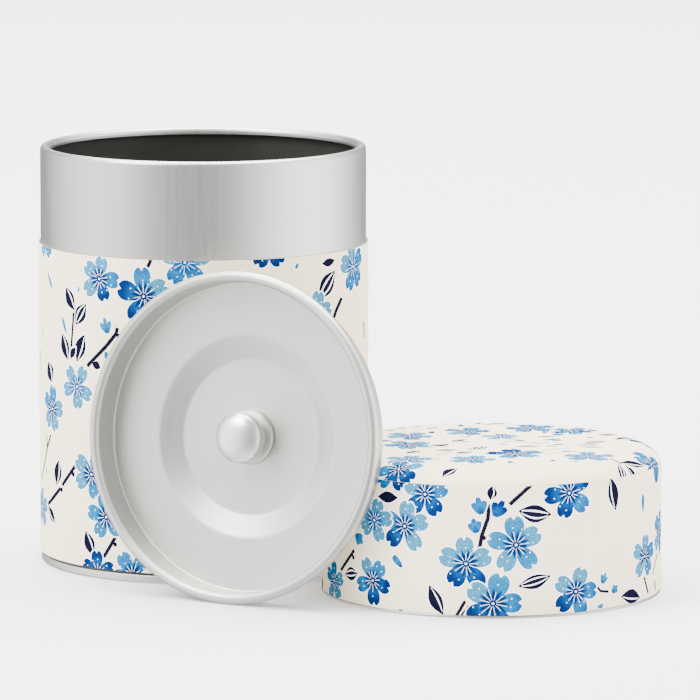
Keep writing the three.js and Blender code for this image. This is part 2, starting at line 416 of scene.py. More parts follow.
# Paper and ink tones, linear
PAPER_WARM = (0.93, 0.80, 0.56)
PAPER_PALE = (0.96, 0.83, 0.62)
PAPER_SHADE = (0.80, 0.68, 0.50)
PAPER_LIGHT = (0.98, 0.93, 0.82)
INK_WORN = (0.55, 0.50, 0.42)
WHITE = (0.97, 0.95, 0.90)
PALE = (0.030, 0.150, 0.262)
SKY = (0.006, 0.105, 0.240)
MID = (0.001, 0.046, 0.168)
DEEP = (0.001, 0.013, 0.074)
NAVY = (0.0035, 0.003, 0.013)

# How a petal's tone runs from the blossom's middle to its tip: (share of the length, tone)
PETAL_TONES = {
    "p": ((0.0, DEEP), (0.26, MID), (0.5, PALE), (1.0, PALE)),
    "s": ((0.0, DEEP), (0.22, MID), (0.5, SKY), (0.8, SKY), (1.0, PALE)),
    "m": ((0.0, DEEP), (0.3, MID), (0.6, SKY), (1.0, MID)),
    "d": ((0.0, DEEP), (0.3, MID), (0.5, MID), (0.7, DEEP), (1.0, DEEP)),
}


STAMENS = 12  # in a blossom
LEAF_FULLNESS = 1.22  # a leaf's printed width over its listed width
TWIG_FULLNESS = 1.3
CUT_MERGE = 1e-4  # points closer than this become one when a print is cut


def mix(first, second, share):
    return tuple(a + (b - a) * share for a, b in zip(first, second))


def tone_at(stops, share):
    """The tone at a share of the way along a list of stops."""
    for (start, first), (end, second) in zip(stops, stops[1:]):
        if share <= end:
            return mix(first, second, max(0.0, share - start) / (end - start))
    return stops[-1][1]


def flat_ink(tone):
    return lambda x, y: tone


def placed(points, at, turn):
    """Points turned clockwise by some degrees and moved to a place on the sheet."""
    c, s = math.cos(math.radians(turn)), math.sin(math.radians(turn))
    return [(at[0] + x * c + y * s, at[1] - x * s + y * c) for x, y in points]


def petal_outline(length, width, notch=0.16, count=26):
    """A notched petal that points up from the blossom's middle, with its points closest at the tip."""
    points = []
    for i in range(count):
        share = 2 * i / count - 1
        angle = math.pi / 2 + math.pi * (0.45 * share + 0.55 * share * abs(share))
        spread = math.cos(angle) * (0.90 + 0.24 * math.sin(angle))
        dip = notch * max(0.0, 1 - abs(spread) / 0.26) if math.sin(angle) > 0 else 0
        points.append((width / 2 * spread, length * (0.55 + 0.45 * math.sin(angle) - dip)))
    return points


def leaf_outline(length, width, bend, low=-1.0, high=1.0, start=0.0, end=1.0, count=9):
    """A pointed leaf, or the sliver of it between two shares of its half width."""

    def edge(share, side):
        half = width / 2 * math.sin(math.pi * share) ** 1.05
        return (half * side + bend * math.sin(math.pi * share), length * share)

    shares = [start + (end - start) * i / (count - 1) for i in range(count)]
    right = [edge(share, high) for share in shares]
    left = [edge(share, low) for share in reversed(shares)]
    if start == 0.0:
        left = left[:-1]
    if end == 1.0:
        left = left[1:]
    return right + left


class Layout:
    """A flat sheet of paper and the shapes printed on it, later ones on top."""

    def __init__(self, border, across):
        self.border = border  # closed outline, anticlockwise
        self.across = across  # turns a motif's first number into a length along the sheet
        self.shapes = []
        self.loose = []
        self.taken = []

    def print_shape(self, outline, ink):
        """Prints an outline. The cutter needs it anticlockwise, so one that isn't is reversed."""
        turning = sum(a[0] * b[1] - b[0] * a[1] for a, b in zip(outline, outline[1:] + outline[:1]))
        self.shapes.append((outline if turning > 0 else outline[::-1], ink))

    def claim(self, at, radius):
        self.taken.append((*at, radius))

    def is_free(self, at, radius):
        return all(math.dist(at, (x, y)) > (r + radius) * 0.94 for x, y, r in self.taken)

    def petal(self, at, turn, length, width, stops, notch=0.15):
        outline = placed(petal_outline(length, width, notch), at, turn)
        self.print_shape(outline, lambda x, y: tone_at(stops, math.dist(at, (x, y)) / length))
        grid = [(u * width * 0.27, v * length) for u in (-1, 0, 1) for v in (0.4, 0.58, 0.76)]
        self.loose += placed([*grid, (0, 0.25 * length)], at, turn)

    def halo(self, at, turn, length, width):
        outline = petal_outline(length + 0.3, width + 0.6, 0.1, 14)
        self.print_shape(placed(outline, at, turn), flat_ink(WHITE))

    def blossom(self, where, height, radius, turn, tones, rng):
        """Five notched petals, a dark star and a ring of white stamens."""
        at = (self.across(where), height)
        petals = []
        for k, tone in enumerate(tones):
            angle = turn + 72 * k + rng.uniform(-5, 5)
            length = radius * rng.uniform(0.94, 1.05)
            petals.append((angle, length, radius * rng.uniform(0.68, 0.77), tone))
        for angle, length, width, _ in petals:
            self.halo(at, angle, length, width)
        for angle, length, width, tone in petals:
            self.petal(at, angle, length, width, PETAL_TONES[tone])
        self.star(at, radius, turn, DEEP if "d" in tones or "s" in tones else MID)
        for k in range(STAMENS):
            angle = turn + 360 * k / STAMENS + rng.uniform(-6, 6)
            self.stamen(at, angle, radius * rng.uniform(0.34, 0.5), radius * rng.uniform(0.55, 0.66))
        self.print_shape(placed(ring(0.3, 8), at, 0), flat_ink(WHITE))
        self.claim(at, radius)

    def star(self, at, radius, turn, tone):
        """The dark rays between the stamens."""
        points = []
        for k in range(2 * STAMENS):
            reach = radius * (0.52 if k % 2 else 0.24)
            angle = math.radians(turn) + TAU * k / (2 * STAMENS)
            points.append((at[0] + reach * math.sin(angle), at[1] + reach * math.cos(angle)))
        self.print_shape(points, flat_ink(tone))

    def stamen(self, at, turn, length, dot_at):
        """A white line and, past its end, a white dot."""
        line = [(-0.045, 0.8), (0.045, 0.8), (0.065, length), (-0.065, length)]
        self.print_shape(placed(line, at, turn), flat_ink(WHITE))
        dot = [(x, y + dot_at) for x, y in ring(0.17, 6)]
        self.print_shape(placed(dot, at, turn), flat_ink(WHITE))

    def leaf(self, base, tip, width, veins=1, bend=0.0):
        """A navy leaf with white veins, from its base to its tip."""
        start, end = self.spot(base), self.spot(tip)
        length, turn = span(start, end)
        width *= LEAF_FULLNESS
        halo = leaf_outline(length + 0.5, width + 0.55, bend)
        self.print_shape(placed(halo, start, turn), flat_ink(WHITE))
        self.print_shape(placed(leaf_outline(length, width, bend), start, turn), flat_ink(NAVY))
        slivers = {0: (), 1: ((0.25, 0.47),), 2: ((-0.58, -0.38), (0.2, 0.42))}[veins]
        for low, high in slivers:
            vein = leaf_outline(length, width, bend, low, high, 0.1, 0.9)
            self.print_shape(placed(vein, start, turn), flat_ink(WHITE))
        self.claim(((start[0] + end[0]) / 2, (start[1] + end[1]) / 2), length * 0.45)

    def loose_petal(self, base, tip, width, tone="m"):
        start, end = self.spot(base), self.spot(tip)
        length, turn = span(start, end)
        outline = leaf_outline(length + 0.4, width + 0.5, 0)
        self.print_shape(placed(outline, start, turn), flat_ink(WHITE))
        self.petal(start, turn, length, width, PETAL_TONES[tone], 0.05)
        self.claim(start, length * 0.6)

    def bud(self, base, tip, tone="m", width=1.5):
        """Three small petals opening from one point."""
        start, end = self.spot(base), self.spot(tip)
        length, turn = span(start, end)
        for lean, share in ((-24, 0.82), (24, 0.82), (0, 1.0)):
            self.halo(start, turn + lean, length * share, width)
        for lean, share in ((-24, 0.82), (24, 0.82), (0, 1.0)):
            self.petal(start, turn + lean, length * share, width, PETAL_TONES[tone], 0.08)
        self.claim(end, length * 0.5)

    def twig(self, path, width=0.65, knob=None):
        """A navy twig through some points, with a small knob on a stub beside it."""
        points = [Vector(self.spot(p)) for p in path]
        width *= TWIG_FULLNESS
        self.stroke(points, width)
        if knob is not None:
            at = Vector(self.spot(knob))
            roots = [nearest_on(a, b, at) for a, b in zip(points, points[1:])]
            self.stroke([min(roots, key=lambda p: (p - at).length), at], width * 0.8)
            self.print_shape(placed(ring(width * 0.6, 8), at, 0), flat_ink(NAVY))
        for point in points:
            self.claim(tuple(point), 1.0)

    def stroke(self, points, width):
        """A navy line through some points, pointed at its end."""
        left, right = [], []
        for i, point in enumerate(points):
            ahead = points[min(i + 1, len(points) - 1)] - points[max(i - 1, 0)]
            side = Vector((-ahead.y, ahead.x)).normalized() * (width / 2)
            left.append(tuple(point + side))
            right.append(tuple(point - side))
        tip = points[-1] + (points[-1] - points[-2]).normalized() * (width / 3)
        self.print_shape(left[::-1] + right + [tuple(tip)], flat_ink(NAVY))

    def spot(self, place):
        return (self.across(place[0]), place[1])


def nearest_on(start, end, point):
    """The point of a straight line between two others that is nearest to a third."""
    along = end - start
    share = (point - start).dot(along) / along.length_squared
    return start + along * min(1.0, max(0.0, share))


def ring(radius, count):
    return [(radius * math.cos(TAU * k / count), radius * math.sin(TAU * k / count)) for k in range(count)]


def span(start, end):
    """Length and clockwise turn from up of the line between two spots."""
    across, up = end[0] - start[0], end[1] - start[1]
    return math.hypot(across, up), math.degrees(math.atan2(across, up))


def border_strip(low_x, high_x, low_y, high_y, step):
    """Anticlockwise border of a long strip, with a point every step along it."""
    count = round((high_x - low_x) / step)
    bottom = [(low_x + (high_x - low_x) * i / count, low_y) for i in range(count + 1)]
    top = [(x, high_y) for x, _ in reversed(bottom)]
    return bottom + top


def cut_print(layout, rows):
    """Triangles that follow every printed edge, each with the number of the shape on top, or 0."""
    points = [Vector(p) for p in layout.border]
    faces = [list(range(len(points)))]
    for outline, _ in layout.shapes:
        faces.append(list(range(len(points), len(points) + len(outline))))
        points += [Vector(p) for p in outline]
    points += [Vector(p) for p in layout.loose + rows]
    flat, _, triangles, _, _, owners = geometry.delaunay_2d_cdt(points, [], faces, 0, CUT_MERGE)
    return flat, [(tri, max(own)) for tri, own in zip(triangles, owners) if 0 in own]


def drape(name, layout, surface, sheet, where, material, rows):
    """Cuts the printed layout into triangles, lays it on a surface and gives it a thickness."""
    flat, kept = cut_print(layout, rows)
    rim = rim_of([tri for tri, _ in kept])
    back, back_tris = back_of([flat[i] for i in rim], rows)
    used = sorted({i for tri, _ in kept for i in tri})
    number = {old: new for new, old in enumerate(used)}
    spots = [tuple(flat[i]) for i in used] + back
    depths = [0.0] * len(used) + [sheet] * len(back)
    verts = [surface(x, y, depth) for (x, y), depth in zip(spots, depths)]
    front = [[number[i] for i in tri] for tri, _ in kept]
    behind = [[len(used) + i for i in reversed(tri)] for tri in back_tris]
    edge = []
    for k, old in enumerate(rim):
        n = (k + 1) % len(rim)
        edge.append([number[rim[n]], number[old], len(used) + k, len(used) + n])
    mesh = new_piece(name, verts, front + behind + edge, where).data
    mesh.materials.append(material)
    lay = mesh.attributes.new("flat", "FLOAT_VECTOR", "POINT")
    lay.data.foreach_set("vector", [x for spot in spots for x in (*spot, 0.0)])
    colour_print(mesh, layout, flat, kept)
    smooth_sheet(mesh, surface, spots, where[0].to_3x3(), len(front), len(front) + len(behind))


def colour_print(mesh, layout, flat, kept):
    """Gives each corner of the front its ink, with how much of it there is as alpha."""
    ink = mesh.color_attributes.new("ink", "FLOAT_COLOR", "CORNER")
    colours = []
    for tri, owner in kept:
        for i in tri:
            colours += (*layout.shapes[owner - 1][1](*flat[i]), 1.0) if owner else (0, 0, 0, 0.0)
    colours += [0.0] * (4 * len(mesh.loops) - len(colours))
    ink.data.foreach_set("color", colours)


def smooth_sheet(mesh, surface, spots, turn, front_count, skin_count):
    """Normals straight off the surface for the two skins, and flat ones for the edge."""
    normals = []
    for face in mesh.polygons:
        side = 1 if face.index < front_count else -1
        for v in face.vertices:
            if face.index >= skin_count:
                normals.append(face.normal)
            else:
                normals.append(turn @ (normal_at(surface, *spots[v]) * side))
    mesh.polygons.foreach_set("use_smooth", [True] * len(mesh.polygons))
    mesh.normals_split_custom_set(normals)


def rim_of(triangles):
    """The border of a triangulated sheet, as one anticlockwise loop of its points."""
    sides = {(tri[k], tri[(k + 1) % 3]) for tri in triangles for k in range(3)}
    ahead = {a: b for a, b in sides if (b, a) not in sides}
    start = min(ahead)
    loop = [start]
    while ahead[loop[-1]] != start:
        loop.append(ahead[loop[-1]])
    return loop


def back_of(rim, rows):
    """The plain back of the sheet: the same border, with only the rows of points inside it."""
    points = [Vector(p) for p in [*rim, *rows]]
    face = [list(range(len(rim)))]
    flat, _, triangles, origins, _, owners = geometry.delaunay_2d_cdt(points, [], face, 0, CUT_MERGE)
    order = {}
    for new, old in enumerate(origins):
        for source in old:
            if source < len(rim):
                order[new] = source
    spots = [tuple(p) for p in rim]
    tris = []
    for tri, own in zip(triangles, owners):
        if 0 not in own:
            continue
        for i in tri:
            if i not in order:
                order[i] = len(spots)
                spots.append(tuple(flat[i]))
        tris.append([order[i] for i in tri])
    return spots, tris


def normal_at(surface, x, y, step=0.02):
    """Outward normal of a surface at a spot on the flat sheet."""
    across = Vector(surface(x + step, y, 0)) - Vector(surface(x - step, y, 0))
    up = Vector(surface(x, y + step, 0)) - Vector(surface(x, y - step, 0))
    return across.cross(up).normalized()


def wrapped(radius, profile=None):
    """The surface of a strip that goes round a part, its end lapped over its start."""
    half = math.pi * radius

    def surface(along, up, depth):
        over = min(1.0, max(0.0, (along - half + SEAM_LAP) / (SEAM_LAP / 2)))
        lift = (PAPER_SHEET + SEAM_LIFT) * over * over * (3 - 2 * over)
        r = (profile(up) if profile else radius) + lift - depth
        angle = along / radius - math.pi / 2
        return (r * math.cos(angle), r * math.sin(angle), up)

    return surface


def lid_radius(z):
    """Radius of the outer lid's paper at a height, where its edge starts to turn in."""
    rise = max(0.0, z - (LID_Z - LID_EDGE_Z)) / LID_EDGE_Z
    return LID_R - LID_EDGE_X + LID_EDGE_X * math.sqrt(max(0.0, 1 - rise * rise))


class Crown:
    """The outer lid's crown: flat in the middle, then an elliptical edge. Reach is measured along it."""

    STEPS = 240

    def __init__(self):
        self.flat = LID_R - LID_EDGE_X
        low = math.asin((LID_JOIN_Z - LID_Z + LID_EDGE_Z) / LID_EDGE_Z)
        high = math.pi / 2
        self.angles = [high + (low - high) * i / self.STEPS for i in range(self.STEPS + 1)]
        self.reaches = [self.flat]
        for a, b in zip(self.angles, self.angles[1:]):
            inward = LID_EDGE_X * (math.cos(b) - math.cos(a))
            down = LID_EDGE_Z * (math.sin(b) - math.sin(a))
            self.reaches.append(self.reaches[-1] + math.hypot(inward, down))
        self.reach = self.reaches[-1]

    def surface(self, x, y, depth):
        reach = math.hypot(x, y)
        if reach <= self.flat:
            return (x, y, LID_Z - depth)
        spot = min(self.STEPS - 1e-6, self.STEPS * (reach - self.flat) / (self.reach - self.flat))
        low = max(0, min(self.STEPS - 1, int(spot)))
        while low > 0 and self.reaches[low] > reach:
            low -= 1
        while low < self.STEPS - 1 and self.reaches[low + 1] < reach:
            low += 1
        share = (reach - self.reaches[low]) / (self.reaches[low + 1] - self.reaches[low])
        angle = self.angles[low] + (self.angles[low + 1] - self.angles[low]) * share
        r = self.flat + (LID_EDGE_X - depth) * math.cos(angle)
        z = LID_Z - LID_EDGE_Z + (LID_EDGE_Z - depth) * math.sin(angle)
        return (x / reach * r, y / reach * r, z)


# ---- What is printed where ---------------------------------------------------------------

# Blossoms: (place, height, radius, turn, tones clockwise). Places are degrees from the front on a
# round side, or millimetres to the right of the axis, with millimetres behind it, on the crown.
# Most of the places came out of another program: see the open failure in report.md.
BODY_BLOSSOMS = (
    (-37, 73.5, 5.9, 14, "pmdpp"), (-19.5, 70, 7.0, -5, "mppdd"), (-5, 78.5, 6.2, 0, "ppmmp"),
    (-48, 46.5, 5.6, 36, "ppppp"), (-64.5, 39.5, 6.0, 10, "sppps"), (-77, 14, 5.4, 0, "ppppp"),
    (-41, 25.5, 6.2, 20, "ppspp"), (-34.5, 15.5, 6.0, -10, "mmsss"), (-38.5, 1.5, 5.4, 0, "dddmd"),
    (-24, 2, 6.0, -36, "smddm"), (65, 74.5, 6.4, -8, "pmmmp"), (24, 82, 6.0, 0, "ddddd"),
    (43, 64.5, 5.8, 10, "ppppp"), (-70, 81, 5.6, 0, "ppspp"),
)
BODY_LEAVES = (
    ((-49, 65), (-54, 70.5), 2.9, 1), ((-48.5, 61.5), (-43, 67), 3.1, 2),
    ((-53, 52.5), (-56.5, 59), 3.0, 1),
    ((-48, 52.5), (-44, 59.5), 3.1, 1), ((-51.5, 53), (-48.5, 56), 1.6, 0),
    ((-40.5, 53), (-36.5, 51.7), 1.7, 0),
    ((-65, 46), (-68, 51), 3.8, 1), ((-61.5, 21), (-59.5, 27.5), 3.2, 1), ((-69, 15), (-62.5, 11.5), 2.3, 1),
    ((-40, 5.5), (-44, 11.5), 2.9, 1), ((53, 74.5), (44.5, 68), 3.9, 2), ((53, 77), (46, 76.6), 1.7, 0),
)
BODY_TWIGS = (
    (((-16.5, 79.5), (-18, 77)), 0.7, None), (((-49.5, 64.5), (-51.3, 54)), 0.6, None),
    (((-29.5, 62), (-30, 60.5), (-34.5, 57), (-42.5, 52)), 0.8, (-29, 60)),
    (((-66, 33), (-69.5, 29.5), (-78, 21)), 0.6, None), (((-70.5, 32.5), (-69.6, 29.5)), 0.6, None),
    (((-49, 27), (-57, 21.5)), 0.8, (-50.3, 24.7)), (((-58.5, 20.5), (-69, 15.5)), 0.8, (-57.6, 20.2)),
    (((-30.5, 11), (-35.5, 5.7)), 0.75, (-30.8, 9)), (((57, 67.5), (53.5, 64.5), (51, 61)), 0.9, None),
    (((76, 60), (77, 56)), 0.7, None),
)
BODY_PETALS = (
    ((-53.5, 58.5), (-56.5, 62.8), 1.3, "s"), ((-47, 69.4), (-46.6, 71), 0.9, "p"),
    ((-68.5, 73.5), (-64, 69.3), 1.3, "m"), ((-34.5, 54), (-34, 56), 1.3, "m"),
    ((-71, 22), (-70.8, 24.6), 0.9, "m"), ((-75, 55), (-74.5, 58.5), 0.9, "s"),
    ((-79, 47), (-79.5, 53), 1.2, "m"), ((35.5, 77.6), (34.5, 76), 1.0, "s"),
)
BODY_BUDS = (((-33.4, 60), (-35, 64.4), "s", 1.3),)

SIDE_BLOSSOMS = (
    (-36, 34, 5.6, 5, "dddms"), (-23.5, 29, 6.0, 2, "pmddp"), (-31, 21, 6.3, 5, "pppdm"),
    (-43.5, 21.5, 5.4, 12, "ppppp"), (-44.2, 7, 5.8, -36, "psddm"), (-67, 4.5, 5.2, 0, "mpppm"),
    (-9.5, 13, 6.7, -3, "ppddp"), (7, 17.5, 6.7, -6, "spsps"), (-0.5, 3.6, 7.4, 18, "smddp"),
    (25.3, 29.2, 6.3, -18, "sdmdd"), (28, 5.6, 6.1, 16, "pmmdp"), (62, 11, 5.8, 4, "pmspp"),
    (78, 15, 5.8, 20, "mpmps"),
)
SIDE_LEAVES = (
    ((-42, 27.3), (-33.5, 27.6), 2.3, 0), ((-59, 7), (-51.5, 8), 2.7, 2), ((-17, 0.5), (-22, 7.6), 2.7, 1),
    ((-1.5, 28.2), (-0.9, 31.6), 2.0, 1), ((19, 24.4), (7.6, 25.6), 3.5, 2),
    ((42.3, 32), (44.7, 23.6), 2.8, 1),
    ((7.6, 7.6), (19, 9.9), 2.7, 2), ((47.5, 2.9), (59, 1.4), 2.9, 1), ((84, 2.5), (87, 5.5), 2.0, 1),
    ((-82, 0), (-82, 4), 1.6, 0),
)
SIDE_TWIGS = (
    (((-1.9, 27.2), (-2.3, 23.8), (-4.3, 19.7), (-5.1, 16.3)), 0.75, (-3.6, 19.2)),
    (((4.8, 27.1), (12.4, 31.8)), 0.75, None), (((-13, 0), (-9.8, 4)), 0.6, None),
    (((-11, 0.6), (-8.6, 3)), 0.4, None), (((-53.5, 13.4), (-61.6, 7.8)), 0.7, (-54, 11.6)),
    (((36.2, 6.4), (37.9, 5), (41.3, 4.6)), 0.5, None), (((61.7, 6), (65, 1.8)), 0.6, None),
    (((75.5, 10.4), (69.3, 5.8)), 0.5, None),
)
SIDE_PETALS = (
    ((-31.5, 10.8), (-35.6, 13.7), 1.9, "m"), ((60.5, 21.2), (60.4, 26.2), 1.6, "m"),
    ((73.3, 0.9), (71.3, 4.2), 1.3, "m"), ((36.4, 1.2), (39.2, 1.5), 1.2, "s"),
    ((-32.5, -1.2), (-32.5, 1.2), 1.4, "s"),
)
SIDE_BUDS = (
    ((-4.3, 24.4), (-5.8, 29), "m", 1.6), ((-0.4, 23.9), (2.9, 28.2), "d", 1.7),
    ((-5.8, 20), (-7.3, 23.9), "m", 1.5),
    ((-0.3, 31), (0.1, 34.4), "d", 1.8), ((38.4, 6.5), (40.3, 9.3), "s", 1.0),
    ((42.9, 4), (45.9, 5.8), "m", 1.0),
    ((72.8, 27), (73.5, 33), "m", 2.2),
)

CROWN_BLOSSOMS = (
    (-20, -22.5, 6.0, 8, "ppppp"), (-5, -22.5, 6.2, 20, "ppspp"), (5.5, -14, 7.4, -10, "dspsd"),
    (22.5, -18, 6.6, 0, "ppppp"), (-19.5, 13, 6.2, 30, "ppspp"), (-5.5, 20, 6.4, 12, "smmps"),
    (2.5, 12, 5.0, 0, "ppppp"), (10, 25, 6.6, -12, "smmsm"), (20, 20.5, 5.6, 24, "mdsdm"),
    (-22.5, -30.8, 6.0, 10, "spddm"), (38.5, -13.5, 5.8, 16, "mpmsm"),
)
CROWN_LEAVES = (
    ((-9, -13.5), (-4.5, -11), 2.5, 1), ((5.2, 7), (8.8, 6), 1.7, 0), ((11, 11.5), (16.5, 13), 1.7, 1),
    ((20, -1), (26.5, 0.5), 2.1, 2), ((21, -3.6), (27, -4.4), 1.8, 1), ((30, -22.5), (36.6, -17.5), 2.2, 1),
    ((29.6, -23.5), (32.6, -30), 2.0, 2), ((31, -23), (35.8, -25.4), 1.7, 1),
    ((-12.4, -37.6), (-8.6, -34.4), 2.4, 1),
    ((-1, 31), (5, 33), 1.7, 1),
)
CROWN_TWIGS = (
    (((-13.5, -15.5), (-10, -12.6)), 0.5, None), (((11.5, -9.5), (18.5, -5.5)), 0.45, None),
    (((12.5, -13.5), (20, -10.5)), 0.45, None), (((27.6, -20.4), (30.4, -23)), 0.5, None),
    (((-12.5, -22), (-15, -20)), 0.45, None), (((3, 5), (11, 2), (14, 2.6)), 0.5, (10.6, 2.8)),
)
CROWN_PETALS = (
    ((30.4, -33.2), (31.6, -28.6), 3.0, "p"), ((35.6, -29.6), (35.2, -25.6), 2.6, "p"),
    ((12, 6.4), (17, 8.4), 2.4, "s"), ((-7.5, 13), (-4.5, 12), 1.6, "m"), ((17.5, -24), (20, -26), 1.4, "m"),
)
CROWN_BUDS = (((14.6, 16), (18.6, 14.6), "m", 1.3), ((-2, -8), (-6, -6), "s", 1.4))

FILL_TRIES = 2600
BLOSSOM_TONES = ("ppppp", "ppspp", "pmddp", "ppddm", "mppmm", "sdmsp", "pppsm", "dmspp")


def listed_print(layout, blossoms, leaves, twigs, petals, buds, rng):
    """Prints the listed motifs, twigs lowest and blossoms last."""
    for path, width, knob in twigs:
        layout.twig(path, width, knob)
    for base, tip, width, veins in leaves:
        layout.leaf(base, tip, width, veins, rng.uniform(-0.25, 0.25))
    for base, tip, tone, width in buds:
        layout.bud(base, tip, tone, width)
    for base, tip, width, tone in petals:
        layout.loose_petal(base, tip, width, tone)
    for where, height, radius, turn, tones in blossoms:
        layout.blossom(where, height, radius, turn, tones, rng)


def fill_print(layout, spot, rng, allowed):
    """Scatters more of the same motifs over the places the listed ones leave, where it is allowed."""

    def fits(at, radius):
        return layout.is_free(at, radius) and allowed(at, radius)

    for _ in range(FILL_TRIES):
        at = spot()
        kind = rng.random()
        turn = rng.uniform(0, 360)
        if kind < 0.42 and fits(at, 5.9):
            layout.blossom(at[0], at[1], rng.uniform(5.4, 6.7), turn, rng.choice(BLOSSOM_TONES), rng)
        elif 0.42 <= kind < 0.55 and fits(at, 4.6):
            sprig(layout, at, turn, rng)
        elif 0.55 <= kind < 0.75 and fits(at, 3.2):
            tip = step_from(at, turn, rng.uniform(5.5, 7.5))
            layout.leaf(at, tip, rng.uniform(2.0, 2.9), rng.choice((1, 2)), rng.uniform(-0.4, 0.4))
        elif 0.75 <= kind < 0.82 and fits(at, 2.2):
            layout.loose_petal(at, step_from(at, turn, rng.uniform(2.6, 4.2)), 1.7, rng.choice("mspd"))


def step_from(at, turn, length):
    return (at[0] + length * math.sin(math.radians(turn)), at[1] + length * math.cos(math.radians(turn)))


def sprig(layout, at, turn, rng):
    """A twig with a leaf on one side and a bud on its end."""
    knee = step_from(at, turn, 4.2)
    end = step_from(knee, turn + rng.uniform(-28, 28), 4.6)
    layout.twig((at, knee, end), 0.62)
    layout.leaf(knee, step_from(knee, turn + 48, 5.6), 2.2, 1, 0.2)
    layout.bud(end, step_from(end, turn - 8, 3.8), rng.choice("ms"), 1.5)


def out_of_sight(place, surface):
    """A test of whether the camera can't see a round spot of the printed paper."""
    depsgraph = bpy.context.evaluated_depsgraph_get()

    def hidden(x, y):
        here = place @ (Vector(surface(x, y, 0)) * MM)
        outward = place.to_3x3() @ normal_at(surface, x, y)
        ahead = CAMERA_PLACE - here
        if outward.dot(ahead.normalized()) < 0.03:
            return True
        return bpy.context.scene.ray_cast(depsgraph, here + outward * MM, ahead.normalized())[0]

    def test(at, radius):
        return all(hidden(at[0] + x, at[1] + y) for x, y in [(0, 0), *ring(radius, 8)])

    return test


def side_layout(radius, low, top):
    """The flat strip that goes round a part: its length round it, measured from the front."""
    half = math.pi * radius + SEAM_LAP / 2
    layout = Layout(border_strip(-half, half, low, top, 1.3), lambda degrees: degrees / 360 * TAU * radius)
    return layout, half


def rows_between(half, heights, step):
    """Loose points in rows along a strip, clear of its border."""
    count = round(2 * half / step)
    return [(-half + (i + 0.5) * 2 * half / count, height) for height in heights for i in range(count)]


def print_side(radius, low, top, surface, place, motifs, seed):
    """A strip's layout: the listed motifs at the front and scattered ones where nothing sees them."""
    rng = random.Random(seed)
    layout, half = side_layout(radius, low, top)
    listed_print(layout, *motifs, rng)
    layout.across = lambda along: along
    fill_print(
        layout,
        lambda: (rng.uniform(-half, half), rng.uniform(low - 1, top + 1)),
        rng,
        out_of_sight(place, surface),
    )
    return layout, half


CROWN_BORDER_POINTS = 256


def print_crown(crown, motifs, seed):
    """The round sheet over the crown. It is seen at a glancing angle, so it is filled all over."""
    rng = random.Random(seed)
    layout = Layout(ring(crown.reach, CROWN_BORDER_POINTS), lambda x: x)
    listed_print(layout, *motifs, rng)

    def spot():
        reach, angle = crown.reach * math.sqrt(rng.random()), rng.uniform(0, TAU)
        return (reach * math.cos(angle), reach * math.sin(angle))

    def allowed(at, radius):
        return at[1] > 2 or math.hypot(*at) + radius < crown.flat - 2

    fill_print(layout, spot, rng, allowed)
    return layout


def crown_rows(crown):
    """Loose points in rings, close together where the crown turns down."""
    rings = [4 + 5.2 * i for i in range(6)]
    rings += [crown.flat + (crown.reach - crown.flat) * (i + 0.5) / 11 for i in range(11)]
    return [
        (reach * math.cos(TAU * k / count), reach * math.sin(TAU * k / count))
        for reach in rings
        for count in [max(16, round(TAU * reach / 1.6))]
        for k in range(count)
    ]


# ---- Pieces ------------------------------------------------------------------------------


def canister(finishes, print_sheet):
    """The open tin: drawn liner with its curled neck, tin barrel, printed paper and pressed bottom."""
    satin, pale, dark, shade_lining = (finishes[k] for k in ("satin", "pale", "dull", "lacquer"))
    bend_r, bend_z = NECK_R - CURL_R, RIM_Z - CURL_R
    inner = CURL_R - INNER_WALL
    curl_edge = bend_z - CURL_DROP
    foot = FOOT_TOP + LINER_LIFT
    outside = [(NECK_R, SHADE_PAINT_TOP), *arc(bend_r, bend_z, CURL_R, CURL_R, 0, 180, 22)]
    edge = [
        (bend_r - CURL_R, curl_edge + CURL_SOFTEN), (bend_r - CURL_R + CURL_SOFTEN, curl_edge),
        (bend_r - inner - CURL_SOFTEN, curl_edge), (bend_r - inner, curl_edge + CURL_SOFTEN),
    ]
    inside = [
        *arc(bend_r, bend_z, inner, inner, 180, 0, LINER_STEPS), (NECK_R - INNER_WALL, foot), (NECK_R, foot),
    ]
    where = (CANISTER, "canister", "satin_tin", ["inner_barrel"])
    # Below the inside of the curl, the liner's inside wall and the gap above the foot ring get the second
    # material, a painted shade.
    shade_lining_from = len(outside + edge) + LINER_STEPS
    turned("neck_and_liner", outside + edge + inside, where, [satin, shade_lining], shade_lining_from, SEAM_STEP)

    low, high = PAPER_LOW + TUBE_LIFT, PAPER_TOP - TUBE_DROP
    tube = [
        (BARREL_OUTER_R, low, 0.1), (BARREL_OUTER_R, high, 0.1), (BARREL_INNER_R, high, 0.1),
        (BARREL_INNER_R, low, 0.1),
    ]
    turned("tin_barrel", rounded(tube, 3), (CANISTER, "canister", "dark_tin", ["outer_barrel"]), [dark])

    bottom(pale, shade_lining)
    print_sheet("body_paper_print", (CANISTER, "canister", "washi", ["body_paper"]))


